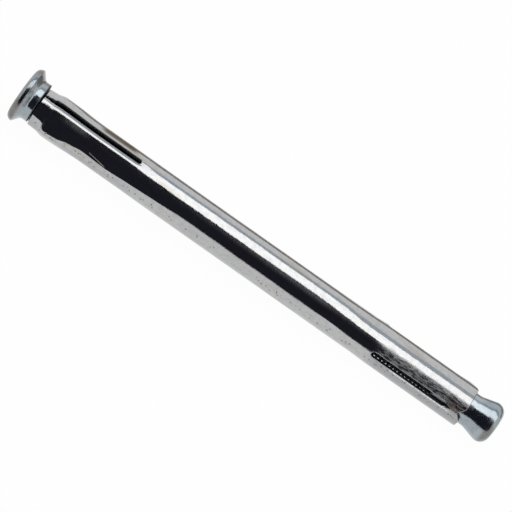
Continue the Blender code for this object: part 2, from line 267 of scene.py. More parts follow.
class Wire:
    """One output of a node, which can be reckoned with like a number."""

    def __init__(self, nodes, socket):
        self.nodes = nodes
        self.socket = socket

    def math(self, operation, *values):
        return self.nodes.add("Math", {"operation": operation}, dict(enumerate(values)))

    def __add__(self, other):
        return self.math("ADD", self, other)

    __radd__ = __add__

    def __sub__(self, other):
        return self.math("SUBTRACT", self, other)

    def __rsub__(self, other):
        return self.math("SUBTRACT", other, self)

    def __mul__(self, other):
        return self.math("MULTIPLY", self, other)

    __rmul__ = __mul__

    def between(self, low, high):
        """0 below low, 1 above high, and a smooth step from one to the other."""
        settings = {"interpolation_type": "SMOOTHSTEP"}
        return self.nodes.add("MapRange", settings, {"Value": self, "From Min": low, "From Max": high})

    def strip(self, start, end, blend):
        """1 from start to end and 0 outside, with a smooth step inside each end."""
        return self.between(start, start + blend) * self.between(end, end - blend)

    def near(self, middle, half_width, blend):
        """A strip on both sides of its middle."""
        return self.strip(middle - half_width, middle + half_width, blend)


# A Mix node has one set of sockets for each kind of data. These are the places of the colour's set.
MIX_FACTOR, MIX_FIRST, MIX_SECOND, MIX_RESULT = 0, 6, 7, 2


class Nodes:
    """The nodes of one material or of the world, all made by one method."""

    def __init__(self, tree):
        self.tree = tree
        self.tree.nodes.clear()

    def add(self, kind, settings=None, sockets=None, out=0):
        """One node: its kind, then its settings, then the values or wires of its sockets."""
        node = self.tree.nodes.new("ShaderNode" + kind)
        for name, value in (settings or {}).items():
            setattr(node, name, value)
        for name, value in (sockets or {}).items():
            if isinstance(value, Wire):
                self.tree.links.new(value.socket, node.inputs[name])
            else:
                node.inputs[name].default_value = value
        return Wire(self, node.outputs[out]) if node.outputs else None

    def outputs(self, wire):
        """All outputs of the node that a wire comes from."""
        return {socket.name: Wire(self, socket) for socket in wire.socket.node.outputs}

    def parts(self, vector):
        """The three numbers of a vector."""
        outputs = self.outputs(self.add("SeparateXYZ", {}, {"Vector": vector}))
        return outputs["X"], outputs["Y"], outputs["Z"]

    def mix(self, factor, first, second):
        """A colour between two others."""
        sockets = {MIX_FACTOR: factor, MIX_FIRST: first, MIX_SECOND: second}
        return self.add("Mix", {"data_type": "RGBA"}, sockets, out=MIX_RESULT)

    def noise(self, coordinates, scale, detail, roughness):
        sockets = {"Vector": coordinates, "Scale": scale, "Detail": detail, "Roughness": roughness}
        return self.add("TexNoise", {}, sockets)

    def cells(self, coordinates, scale):
        """The distance to the nearest of many scattered points."""
        return self.add("TexVoronoi", {"feature": "F1"}, {"Vector": coordinates, "Scale": scale})


def colour(red, green, blue):
    return (red, green, blue, 1.0)


def new_finish(name):
    """An empty material and its nodes."""
    material = bpy.data.materials.new(name)
    material.use_nodes = True
    return material, Nodes(material.node_tree)


def metal_surface(nodes, shade, roughness, height):
    """Metal of this colour; the height of its grain is in millimetres."""
    bump = nodes.add("Bump", {}, {"Strength": 1.0, "Distance": MM, "Height": height})
    sockets = {"Base Color": shade, "Metallic": 1.0, "Roughness": roughness, "Normal": bump}
    surface = nodes.add("BsdfPrincipled", {}, sockets)
    nodes.add("OutputMaterial", {}, {"Surface": surface})
    print("a metal finish with", len(nodes.tree.nodes), "nodes")


# %% [markdown]
# ## The finish of the sleeve
#
# Bright zinc on cold-rolled sheet is almost a mirror, so it shows the studio in long bands. What tells
# it from chrome is the sheet under the plating: fine lines from rolling that run along the sleeve, and
# a slight waviness that frays the edge of each band. The plating has a faint yellow and violet tint
# where its passivation is thicker. The sleeve is made from a flat blank, and its UV map is that blank
# in millimetres, so the lines follow the sheet round the tube.
#
# The wear has its places too, which are noted as angles round the axis, where they were seen, and
# turned into places across the blank. Painting them by hand would give more detail, but a mask worked
# out from its place stays sharp at any size.

# %% Places of the marks on the blank
SEAM_TURN = SEAM_GAP / BODY_RADIUS
BLANK_WIDTH = (2 * pi - SEAM_TURN) * BODY_RADIUS


def across_blank(angle):
    """Where a direction round the axis lies on the flat blank."""
    return ((angle - SEAM_ANGLE - SEAM_TURN / 2) % (2 * pi)) * BODY_RADIUS


TIP_SLOT_ACROSS = across_blank(TIP_SLOT_ANGLE)
SCUFF_START = SLEEVE_LENGTH - 25.0
SCUFF_FULL = SLEEVE_LENGTH - 21.0
SCUFF_WIDTH = 3.6
SCUFF_FULL_WIDTH = 2.6
LOW_LEG_WIDTH = 8.0
BRIGHT_LIP_START = 0.70
BRIGHT_LIP_END = 1.25
BRIGHT_LIP_FROM = SLEEVE_LENGTH - 19.0
BRIGHT_LIP_TO = SLEEVE_LENGTH - 2.5

LOW_SIDE_START = across_blank(radians(-92.0))
LOW_SIDE_END = across_blank(radians(-36.0))
LOW_MOUTH_FULL = 16.0
LOW_MOUTH_END = 30.0

PIT_ROW_ACROSS = across_blank(radians(-88.0))
PIT_ROW_HALF_WIDTH = 0.8
PITS_PER_MM = 1.15

MARK_BLEND = 0.9
STAIN_ACROSS = across_blank(radians(-197.0))
STAIN_HALF_WIDTH = 1.1
STAIN_START = 13.0
STAIN_END = 24.0
RUST_ACROSS = across_blank(radians(-224.0))
RUST_HALF_WIDTH = 1.6
RUST_START = 106.8
RUST_END = 110.6
BURNT_ACROSS = across_blank(radians(-119.0))
BURNT_HALF_WIDTH = 1.7
BURNT_START = 106.5
BURNT_FULL = 108.5

DENT_ACROSS = across_blank(radians(-112.3))
DENT_START = 14.0
DENT_END = 20.4
DENT_SLOPE = 0.15
DENT_HALF_WIDTH = 0.16
print("the blank is", round(BLANK_WIDTH, 2), "mm wide, its tip slot at", round(TIP_SLOT_ACROSS, 2), "mm")

# %% [markdown]
# ### Its marks, one by one
#
# Each mark is a mask: a wire that is 1 on the mark and 0 off it. Kept apart from the colours, a mask can
# darken, roughen and sink the same spot.

# %% Masks of the marks


def leg_marks(across, along):
    """Of the legs at the tip: scuffed beside each slot, dull on the lowest leg, and at its lip worn bright,
    with a painted highlight.
    """
    from_slot = TIP_SLOT_ACROSS - across
    leg = from_slot.math("FLOORED_MODULO", from_slot, SLOT_PITCH * BODY_RADIUS)
    tip_zone = along.between(SCUFF_START, SCUFF_FULL)
    scuffed = tip_zone * leg.between(SCUFF_WIDTH, SCUFF_FULL_WIDTH)
    low_leg = tip_zone * across.strip(TIP_SLOT_ACROSS - 0.1, TIP_SLOT_ACROSS + LOW_LEG_WIDTH, 0.5)
    lip = across.strip(TIP_SLOT_ACROSS + BRIGHT_LIP_START, TIP_SLOT_ACROSS + BRIGHT_LIP_END, 0.15)
    lip = lip * along.strip(BRIGHT_LIP_FROM, BRIGHT_LIP_TO, 1.0)
    return scuffed, low_leg, lip


def brown_marks(across, along, rolled, streaks):
    """A stain behind the mouth, rust on the far leg of the tip and a burnt patch beside its slot."""
    stain = across.near(STAIN_ACROSS, STAIN_HALF_WIDTH, MARK_BLEND)
    stain = stain * along.strip(STAIN_START, STAIN_END, 2.5)
    rust = across.near(RUST_ACROSS, RUST_HALF_WIDTH, MARK_BLEND)
    rust = rust * along.strip(RUST_START, RUST_END, 0.8)
    burnt = across.near(BURNT_ACROSS, BURNT_HALF_WIDTH, MARK_BLEND)
    burnt = burnt * along.between(BURNT_START, BURNT_FULL)
    return stain * (0.75 + rolled * 0.7) + rust * (0.3 + streaks * 0.5) + burnt * (0.15 + streaks * 0.7)


def long_dent(across, along):
    """A narrow dent that runs a little aslant, behind the mouth."""
    off_dent = across - (DENT_ACROSS + (along - DENT_START) * DENT_SLOPE)
    dent = off_dent.between(-DENT_HALF_WIDTH, 0.0) * off_dent.between(DENT_HALF_WIDTH, 0.0)
    return dent * along.between(DENT_START, DENT_START + 1) * along.between(DENT_END, DENT_END - 2)


# %% [markdown]
# ### Its plating
#
# One noise texture can be grain, lines or swells: it only has to be stretched. More waves to the
# millimetre across than along make lines along the sleeve. The fine grains feed mostly the roughness and
# the coarse ones mostly the height, because a mirror shows a slope of a tenth of a degree.

# %% Bright zinc
ZINC = colour(0.49, 0.488, 0.485)
ZINC_LINES = colour(0.46, 0.465, 0.47)
ZINC_MOTTLED = colour(0.415, 0.42, 0.425)
ZINC_YELLOW = colour(0.40, 0.37, 0.32)
ZINC_VIOLET = colour(0.37, 0.38, 0.43)
ZINC_DULL = colour(0.33, 0.335, 0.34)
RUBBED_ZINC_AND_HIGHLIGHT = colour(0.74, 0.75, 0.76)
RUST_BROWN = colour(0.13, 0.095, 0.07)
PIT_GREY = colour(0.10, 0.105, 0.11)


def clean_plating(nodes, rolled, mottle, tint):
    """The colour without the marks: grey, yellower or more violet where the passivation is thicker."""
    lined = nodes.mix(rolled.between(0.3, 0.7), ZINC, ZINC_LINES)
    mottled = nodes.mix(mottle.between(0.42, 0.66), lined, ZINC_MOTTLED)
    warmer = nodes.mix(tint.between(0.52, 0.72) * 0.55, mottled, ZINC_YELLOW)
    return nodes.mix(tint.between(0.46, 0.26) * 0.5, warmer, ZINC_VIOLET)


def bright_zinc():
    material, nodes = new_finish("bright zinc")
    blank = nodes.add("UVMap", {"uv_map": "blank"})
    across, along, _ = nodes.parts(blank)

    def grain(waves_across, waves_along, detail=3.0, roughness=0.6):
        """A noise with so many waves to the millimetre."""
        scale = (waves_across, waves_along, 1.0)
        stretched = nodes.add("VectorMath", {"operation": "MULTIPLY"}, {0: blank, 1: scale})
        return nodes.noise(stretched, 1.0, detail, roughness)

    brushed = grain(2.3, 3.2)
    fine = grain(5.0, 14.0)
    rolled = grain(9.0, 0.15)
    mottle = grain(1.4, 0.9)
    streaks = grain(3.2, 0.55)
    tint = grain(0.45, 0.10, roughness=0.55)
    waves = grain(0.5, 0.35, detail=2.0, roughness=0.5)
    swells = grain(0.12, 0.035, detail=2.0, roughness=0.5)

    scuffed, low_leg, lip = leg_marks(across, along)
    low_mouth = across.strip(LOW_SIDE_START, LOW_SIDE_END, 0.8)
    low_mouth = low_mouth * along.between(LOW_MOUTH_END, LOW_MOUTH_FULL)
    pit = nodes.cells(blank, PITS_PER_MM).between(0.30, 0.12)
    pit = pit * across.near(PIT_ROW_ACROSS, PIT_ROW_HALF_WIDTH, 0.4)

    clean = clean_plating(nodes, rolled, mottle, tint)
    dulled = nodes.mix(low_leg * (0.5 + mottle * 0.5) + low_mouth * mottle, clean, ZINC_DULL)
    # At the lip of the tip slot the zinc is lightened: partly wear, partly a painted highlight along the
    # lip.
    rubbed_and_highlit = nodes.mix(lip * brushed.between(0.38, 0.58), dulled, RUBBED_ZINC_AND_HIGHLIGHT)
    stained = nodes.mix(brown_marks(across, along, rolled, streaks), rubbed_and_highlit, RUST_BROWN)
    pitted = nodes.mix(pit * 0.9, stained, PIT_GREY)
    rough = 0.055 + rolled.between(0.5, 0.8) * 0.03 + fine.between(0.55, 0.8) * 0.05
    rough = rough + scuffed * (0.19 + streaks.between(0.4, 0.6) * 0.34) + low_leg * 0.08 + pit * 0.2
    height = waves * 0.02 + swells * 0.12 + brushed * 0.014 + fine * 0.003 + rolled * 0.001
    height = height + scuffed * (fine * 0.01 + streaks * 0.03) - pit * 0.02
    height = height - long_dent(across, along) * 0.012
    metal_surface(nodes, pitted, rough, height)
    return material


BRIGHT_ZINC = bright_zinc()

# %% [markdown]
# ### Its punched edges
#
# A punch shears the sheet half through and tears the rest, so the edge is part shiny and part torn. It
# is a finish of its own, given to the faces of the edge, and painted dark in the notches at the tip, as
# shade.

# %% Punched edge
TEAR_SCALE = 5000.0
SHEARED = colour(0.26, 0.26, 0.26)
TORN = colour(0.55, 0.55, 0.55)
NOTCH_SHADE = colour(0.04, 0.035, 0.035)
NOTCH_SHADE_START = SLEEVE_LENGTH - 3.5
NOTCH_SHADE_FULL = SLEEVE_LENGTH - 1.5


def cut_edge():
    material, nodes = new_finish("punched edge")
    torn = nodes.noise(nodes.add("TexCoord", out="Object"), TEAR_SCALE, 3.0, 0.6)
    _, along, _ = nodes.parts(nodes.add("UVMap", {"uv_map": "blank"}))
    sheared = nodes.mix(torn.between(0.35, 0.65), SHEARED, TORN)
    # Near the tip end the punched edge is painted dark: painted shade in the notches there.
    shaded_edge = nodes.mix(along.between(NOTCH_SHADE_START, NOTCH_SHADE_FULL) * 0.92, sheared, NOTCH_SHADE)
    metal_surface(nodes, shaded_edge, 0.3 + torn * 0.15, torn * 0.02)
    return material


CUT_EDGE = cut_edge()

# %% [markdown]
# ## The finish of the screw and the nut
#
# Both are forged and then plated in a drum, where they knock against each other. Their zinc is bluish
# and a little matt, with a fine pebbled grain that tears the edges of the reflections, and a few dull
# patches and nicks.

# %% Blue zinc
GRAIN_SCALE = 1500.0
KNOCK_SCALE = 420.0
PATCH_SCALE = 260.0
NICK_SCALE = 700.0
DUSTY = colour(0.22, 0.24, 0.26)
TARNISH = colour(0.175, 0.165, 0.15)


def blue_zinc(name, pale, pebbles, waviness, tarnish_of, dull_or_shade_of, dull_or_shade_colour):
    """The plating of the forged pieces; two functions give its share of brown and of dull metal or painted
    shade.
    """
    material, nodes = new_finish(name)
    place = nodes.add("TexCoord", out="Object")
    grain = nodes.noise(place, GRAIN_SCALE, 4.0, 0.6)
    knocks = nodes.noise(place, KNOCK_SCALE, 2.0, 0.5)
    patches = nodes.noise(place, PATCH_SCALE, 3.0, 0.55)
    nick = 1 - nodes.cells(place, NICK_SCALE).between(0.10, 0.22)
    deep = colour(0.275 * pale, 0.315 * pale, 0.34 * pale)
    light = colour(0.345 * pale, 0.385 * pale, 0.41 * pale)
    blue = nodes.mix(patches.between(0.35, 0.7), deep, light)
    dusty = nodes.mix(grain.between(0.5, 0.75) * 0.55, blue, DUSTY)
    tarnish = tarnish_of(nodes, place) * (0.45 + patches.between(0.3, 0.65) * 0.55)
    brown = nodes.mix(tarnish, dusty, TARNISH)
    # On the screw this is painted shade on the shank; on the nut it is a matt zinc on the neck.
    dull = dull_or_shade_of(nodes, place)
    dimmed_or_shaded = nodes.mix(dull, brown, dull_or_shade_colour)
    rough = 0.11 + patches.between(0.4, 0.75) * 0.08 + grain.between(0.4, 0.8) * 0.06
    rough = rough + tarnish * 0.08 + dull * 0.45
    height = grain * pebbles + knocks * waviness - nick * (0.6 * pebbles)
    metal_surface(nodes, dimmed_or_shaded, rough, height)
    return material


# %% [markdown]
# ### Where the screw and the nut are brown or dull
#
# The screw and the nut have no blank, so their marks are found by their place along and beside the
# axis. The functions stand apart from the plating, because the two pieces share it but neither their wear
# nor the screw's painted shade.

# %% The plating of the screw
# Painted shade: the screw's shank is painted as dark as the inside of the sleeve.
SHADE_IN_SLEEVE = colour(0.05, 0.05, 0.055)


def head_tarnish(nodes, place):
    """The rim and the far side of the head are the brownest."""
    forward, sideways, _ = nodes.parts(place)
    rim = forward.between(AXIS_START.x + 2.0 * MM, AXIS_START.x + 1.3 * MM)
    far_side = sideways.between(-1.0 * MM, 2.5 * MM)
    near_side = sideways.between(-4.0 * MM, -6.2 * MM)
    return rim * 0.6 + far_side * 0.65 + near_side * 0.4


def shank_in_painted_shade(nodes, place):
    """Between the head and the thread the screw is rougher and painted dark, as shade inside the sleeve."""
    forward, _, _ = nodes.parts(place)
    start = AXIS_START.x + (HEAD_LENGTH - HEAD_TO_SLEEVE_GAP) * MM
    return forward.strip(start, AXIS_START.x + (SCREW_LENGTH - THREAD_LENGTH) * MM, 0.4 * MM)


SCREW_ZINC = blue_zinc("blue zinc of the screw", 1.22, 0.018, 0.03, head_tarnish, shank_in_painted_shade, SHADE_IN_SLEEVE)

# %% The plating of the nut
MATT = colour(0.42, 0.45, 0.46)


def nut_tarnish(nodes, place):
    """Brown on the rounded end, the most on its front side."""
    forward, sideways, _ = nodes.parts(place)
    end = forward.between(-AXIS_START.x - 2.7 * MM, -AXIS_START.x - 1.5 * MM)
    return end * (0.2 + sideways.between(-2.4 * MM, -3.8 * MM) * 0.75)


def dull_neck(nodes, place):
    """The nut's neck is matt, where it stands in the sleeve."""
    forward, _, _ = nodes.parts(place)
    neck_end = AXIS_START.x + (NUT_START + NUT_INSIDE_LENGTH) * MM
    return forward.between(neck_end + 0.5 * MM, neck_end - 2.5 * MM) * 0.65


NUT_ZINC = blue_zinc("blue zinc of the nut", 1.13, 0.024, 0.055, nut_tarnish, dull_neck, MATT)

# %% [markdown]
# ## The blank of the sleeve
#
# The maker punches the sleeve flat: a strip with three slots in each end. Drawing it flat is also the
# easiest way to a clean mesh, because the whole outline is one loop, with the slots as inlets. An inset
# gives the edge its rounding ring, and a grid of cuts lets the strip bend later.

# %% Draw the outline of the blank
SLOT_END_POINTS = 12


def round_end(length, width):
    """Half of a slot's round end, as (in from the end, off the slot's middle)."""
    points = []
    for step in range(SLOT_END_POINTS + 1):
        angle = pi / 2 * (1 - step / SLOT_END_POINTS)
        points.append((length - width / 2 + width / 2 * cos(angle), width / 2 * sin(angle)))
    return points


HEAD_SLOT_HALF = [(0.0, HEAD_SLIT_WIDTH / 2), (HEAD_SLOT_OPENING, HEAD_SLOT_WIDTH / 2)]
HEAD_SLOT_HALF += round_end(HEAD_SLOT_LENGTH, HEAD_SLOT_WIDTH)
TIP_SLOT_HALF = [
    (0.0, TIP_NOTCH_WIDTH / 2),
    (TIP_NOTCH_DEPTH, TIP_SLIT_WIDTH / 2),
    (TIP_SLIT_END, TIP_SLIT_WIDTH / 2),
    (TIP_SLIT_END + TIP_SLOT_SHOULDER, TIP_SLOT_WIDTH / 2),
]
TIP_SLOT_HALF += round_end(TIP_SLOT_LENGTH, TIP_SLOT_WIDTH)


def inlets(half, first_angle):
    """The outlines of one end's slots, from left to right on the blank, as (across, in from the end)."""
    middles = sorted(across_blank(first_angle + number * SLOT_PITCH) for number in range(SLOT_COUNT))
    points = []
    for middle in middles:
        points += [(middle - side, inward) for inward, side in half]
        points += [(middle + side, inward) for inward, side in reversed(half[:-1])]
    return points


outline = [(0.0, 0.0)] + inlets(HEAD_SLOT_HALF, HEAD_SLOT_ANGLE) + [(BLANK_WIDTH, 0.0)]
tip_end = [(0.0, 0.0)] + inlets(TIP_SLOT_HALF, TIP_SLOT_ANGLE) + [(BLANK_WIDTH, 0.0)]
outline += [(across, SLEEVE_LENGTH - inward) for across, inward in reversed(tip_end)]
print("the outline of the blank has", len(outline), "points")

# %% [markdown]
# ### From outline to grid
#
# The outline is filled with one face. An inset ring inside it becomes the rounding of the edge, and
# straight cuts both ways give the sheet places to bend. The rows lie closer at the mouth, where the
# crimp and the swell are. Building the grid first and cutting the slots by Booleans would work too, but
# it leaves thin slivers along their sides.

# %% Fill it and cut it into a grid
EDGE_ROUNDING = 0.15
COLUMNS = 200
HEAD_ROWS = 44
HEAD_ROWS_END = 17.0
ROWS = 64
ON_CUT = 1e-5

blank = bmesh.new()
_, edges = add_chain(blank, [(across, along, 0) for across, along in outline], closed=True)
sheet = bmesh.ops.contextual_create(blank, geom=edges)["faces"]
bmesh.ops.inset_region(
    blank, faces=sheet, thickness=EDGE_ROUNDING, depth=0, use_boundary=True, use_even_offset=True
)


def slice_blank(point, direction):
    geometry = blank.verts[:] + blank.edges[:] + blank.faces[:]
    bmesh.ops.bisect_plane(blank, geom=geometry, plane_co=point, plane_no=direction, dist=ON_CUT)


for row in range(1, HEAD_ROWS):
    slice_blank((0, HEAD_ROWS_END * row / HEAD_ROWS, 0), (0, 1, 0))
for row in range(ROWS):
    slice_blank((0, HEAD_ROWS_END + (SLEEVE_LENGTH - HEAD_ROWS_END) * row / ROWS, 0), (0, 1, 0))
for column in range(1, COLUMNS):
    slice_blank((BLANK_WIDTH * column / COLUMNS, 0, 0), (1, 0, 0))
print("the flat blank has", len(blank.faces), "faces")

# %% [markdown]
# ## The thickness of the blank
#
# The flat strip gets its thickness by an extrusion, and the ring of the inset is lowered at its outer
# side, which rounds the punched edge. The UV map is written while the strip is still flat. A Solidify
# modifier could give the thickness, but not the rounding of both rims at once.

# %% Give it thickness and a rounded edge
RIM = blank.verts.layers.int.new("rim")
for vertex in blank.verts:
    vertex[RIM] = int(vertex.is_boundary)
UNDER = blank.verts.layers.int.new("under")
copied = bmesh.ops.extrude_face_region(blank, geom=blank.faces[:], use_keep_orig=True)
for element in copied["geom"]:
    if isinstance(element, bmesh.types.BMVert):
        element[UNDER] = 1
for face in blank.faces:
    sides = {vertex[UNDER] for vertex in face.verts}
    face.material_index = 1 if len(sides) == 2 else 0
for vertex in blank.verts:
    inside_face = -SHEET if vertex[UNDER] else 0.0
    rounding = EDGE_ROUNDING if vertex[RIM] else 0.0
    vertex.co.z = inside_face + (rounding if vertex[UNDER] else -rounding)
bmesh.ops.recalc_face_normals(blank, faces=blank.faces)

BLANK_MAP = blank.loops.layers.uv.new("blank")
for face in blank.faces:
    for loop in face.loops:
        loop[BLANK_MAP].uv = (loop.vert.co.x, loop.vert.co.y)
print("the blank is", SHEET, "mm thick and has", len(blank.faces), "faces")

# %% [markdown]
# ## Rolling the blank
#
# The real tube is rolled first and pressed to its final form afterwards. Here one function gives the
# radius that the pressed tube has at each place along it: the crimp at the mouth, the swell behind it,
# the plain tube and the wider zone at the tip.

# %% The radius of the tube


def sleeve_radius(along):
    """The outer radius of the rolled sheet."""
    tip_zone = SLEEVE_LENGTH - TIP_ZONE_LENGTH
    if along < MOUTH_LENGTH:
        return MOUTH_RADIUS + MOUTH_TAPER * along / MOUTH_LENGTH
    if along < SWELL_START + SWELL_CREST:
        low = MOUTH_RADIUS + MOUTH_TAPER
        return low + (SWELL_RADIUS - low) * ease((along - MOUTH_LENGTH) / (SWELL_START - MOUTH_LENGTH))
    if along < SWELL_END:
        run = SWELL_END - SWELL_START - SWELL_CREST
        return SWELL_RADIUS + (BODY_RADIUS - SWELL_RADIUS) * ease((along - SWELL_START - SWELL_CREST) / run)
    return BODY_RADIUS + (TIP_ZONE_RADIUS - BODY_RADIUS) * ease((along - tip_zone) / TIP_ZONE_STEP + 1)


def through(pairs, place):
    """A value between the chosen ones of (place, value), joined without kinks."""
    for (start, low), (end, high) in zip(pairs, pairs[1:]):
        if place < end:
            return low + (high - low) * ease((place - start) / (end - start))
    return pairs[-1][1]


# %% [markdown]
# ### What the tools did to the legs
#
# The jaws that crimped the mouth left a flat on each leg, widest just behind the mouth and gone 40 mm
# from it, and curled the lips of the slots in. At the tip each leg stands off at one lip. All of it is
# added to the radius. Sculpting would do, but then the thickness of the sheet wouldn't stay even.

# %% The form of the legs
FLAT_START = radians(57.5)
# How far round a flat reaches: a distance from the mouth, and the degrees that it has there.
FLAT_REACH = (
    (0.0, 8.0), (2.1, 10.0), (3.1, 24.0), (4.0, 25.5), (6.8, 24.5), (10.1, 17.0),
    (13.0, 13.0), (20.0, 16.0), (25.7, 12.0), (32.0, 8.0), (40.0, 0.0),
)
FLATNESS = (0.3, 0.2, 1.0)
LIP_ROLL = 0.26
LIP_LEAD = 0.15
LIP_WIDTH = 1.15
LEG_PROUD = 0.06
PROUD_WIDTH = 1.6
FLATS_END = HEAD_SLOT_LENGTH - 1.0
FLATS_END_RUN = 3.0
OPENED = 0.36
OPENED_WIDTH = 2.0
PRESSED = 0.14
PRESSED_PLACE = 6.2
LEG_BENDS = (1.0, 0.22, 0.26)
TIP_FORM_LENGTH = 38.0
TIP_FORM_STEP = 15.0


def head_leg_form(angle, along):
    """How far a leg at the head stands off the round: flat where the jaws held it, with curled lips."""
    leg, round_leg = divmod(angle - HEAD_SLOT_ANGLE, SLOT_PITCH)
    reach = radians(through(FLAT_REACH, along))
    on_flat = min(max(round_leg - FLAT_START, 0.0), reach)
    form = FLATNESS[int(leg) % SLOT_COUNT] * BODY_RADIUS * (1 / cos(on_flat) - 1)
    lip = SLOT_PITCH - HEAD_SLOT_WIDTH / 2 / BODY_RADIUS
    form *= 1 - ease((round_leg - FLAT_START - reach) / (lip - FLAT_START - reach))
    slotted = 1 - ease((along - FLATS_END) / FLATS_END_RUN)
    opening = min(along / HEAD_SLOT_OPENING, 1.0)
    half_slot = (HEAD_SLIT_WIDTH + (HEAD_SLOT_WIDTH - HEAD_SLIT_WIDTH) * opening) / 2
    off_lip = round_leg * BODY_RADIUS - half_slot
    rolled_in = LIP_ROLL * (1 - ease((off_lip + LIP_LEAD) / LIP_WIDTH))
    proud = LEG_PROUD * (1 - ease(off_lip / PROUD_WIDTH))
    return form + slotted * (proud - rolled_in)


def tip_leg_form(angle, along):
    """The legs at the tip stand off a little at one lip of each slot, and lie lower in their middle."""
    leg, past_slot = divmod(TIP_SLOT_ANGLE - angle, SLOT_PITCH)
    leg_width = SLOT_PITCH * BODY_RADIUS
    bends = ((0.0, OPENED), (OPENED_WIDTH, OPENED), (PRESSED_PLACE, -PRESSED), (leg_width, 0.0))
    form = through(bends, past_slot * BODY_RADIUS)
    form *= LEG_BENDS[int(leg) % SLOT_COUNT]
    return form * ease((along - SLEEVE_LENGTH + TIP_FORM_LENGTH) / TIP_FORM_STEP)


# %% [markdown]
# ### The roll
#
# Each vertex is rolled up: its place across the blank becomes an angle round the axis, and its height
# in the sheet becomes a part of its radius. A Simple Deform modifier could roll the sheet too, but not
# press it at the same time.

# %% Roll it up
for vertex in blank.verts:
    across, along, height = vertex.co
    angle = SEAM_ANGLE + SEAM_TURN / 2 + across / BODY_RADIUS
    radius = sleeve_radius(along) + height + head_leg_form(angle, along) + tip_leg_form(angle, along)
    vertex.co = (radius * cos(angle), radius * sin(angle), along)

finish_piece(
    "rolled_sleeve", blank, SLEEVE_PLACE, "sleeve", "sleeve", [BRIGHT_ZINC, CUT_EDGE]
)

# %% [markdown]
# ## The screw
#
# The head and the shank are forged as one piece, so one profile is spun round the axis. A Screw
# modifier could do it too, but bmesh's spin also sweeps the thread.
#
# The imported model's round shapes have flat sides, and the pieces here are kept inside them. So what is
# spun here is made smaller by as much as the middle of a flat side lies inside its corners, and a hair
# more.

# %% Spin the head and the shank
TURN_STEPS = 160
PACKED_SIDES = 56
PACKED_MARGIN = 0.0006
ARC_POINTS = 10
FINE_ARC_POINTS = 4
MERGE_DISTANCE = 1e-4
THREAD_JOINT = 0.05
THREAD_START = SCREW_LENGTH - THREAD_LENGTH


def screw_body_profile():
    """From the middle of the head's face to where the thread starts."""
    edge_centre = (HEAD_FACE_RADIUS, HEAD_EDGE_DEPTH)
    edge_sizes = (HEAD_RADIUS - HEAD_FACE_RADIUS, HEAD_EDGE_DEPTH)
    flare_centre = (NECK_RADIUS + FLARE_FILLET, NECK_START)
    neck_edge = (NECK_RADIUS - NECK_EDGE_RADIUS, HEAD_LENGTH - NECK_EDGE_RADIUS)
    shank_corner = (SHANK_RADIUS + SHANK_FILLET, HEAD_LENGTH + SHANK_FILLET)
    points = [(0.0, 0, 0.0)]
    points += arc(edge_centre, edge_sizes, -pi / 2, 0, ARC_POINTS)
    points.append((HEAD_RADIUS, 0, HEAD_RIM_BACK))
    points += arc(flare_centre, (FLARE_FILLET, FLARE_FILLET), FLARE_ANGLE - pi, -pi, ARC_POINTS)
    points += arc(neck_edge, (NECK_EDGE_RADIUS, NECK_EDGE_RADIUS), 0, pi / 2, FINE_ARC_POINTS)
    points += arc(shank_corner, (SHANK_FILLET, SHANK_FILLET), -pi / 2, -pi, FINE_ARC_POINTS)
    points.append((SHANK_RADIUS, 0, THREAD_START - THREAD_JOINT))
    return points


def spin_round(shape, geometry, steps, climb=0.0, turns=1.0):
    """A turned surface, or with a climb a thread, from a profile in the XZ plane."""
    bmesh.ops.spin(
        shape,
        geom=geometry,
        cent=(0, 0, 0),
        axis=(0, 0, 1),
        dvec=(0, 0, climb * turns / steps),
        angle=2 * pi * turns,
        steps=steps,
        use_merge=climb == 0,
        use_duplicate=False,
    )


def keep_inside_flats(shape):
    """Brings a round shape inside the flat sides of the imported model's."""
    shrunk = cos(pi / PACKED_SIDES) - PACKED_MARGIN
    bmesh.ops.scale(shape, vec=(shrunk, shrunk, 1), verts=shape.verts)


def close_up(shape):
    """Merges the points that meet, and turns the faces outwards."""
    bmesh.ops.remove_doubles(shape, verts=shape.verts, dist=MERGE_DISTANCE)
    bmesh.ops.recalc_face_normals(shape, faces=shape.faces)


screw = bmesh.new()
corners, edges = add_chain(screw, screw_body_profile())
spin_round(screw, corners + edges, TURN_STEPS)
close_up(screw)
print("the head and the shank have", len(screw.faces), "faces")

# %% [markdown]
# ### The thread
#
# The thread is rolled into the shank. One pitch of its profile, swept round and up by one pitch a turn,
# covers the whole length without a gap. The sweep overruns at both ends and is cut off square. The
# crests fade into the shank at one end and into the chamfer at the other.

# %% Sweep the thread
THREAD_STEPS = 48
FADE_LENGTH = 1.0


def thread_radius(share):
    """The profile of one pitch: a flat crest, a straight flank on each side and a narrow root."""
    depth = THREAD_RADIUS - THREAD_ROOT_RADIUS
    crest = THREAD_CREST_SHARE * THREAD_PITCH / 2
    flank = depth * tan(THREAD_FLANK_ANGLE)
    off_crest = abs(share - 0.5) * THREAD_PITCH - crest
    return THREAD_RADIUS - depth * min(max(off_crest / flank, 0.0), 1.0)


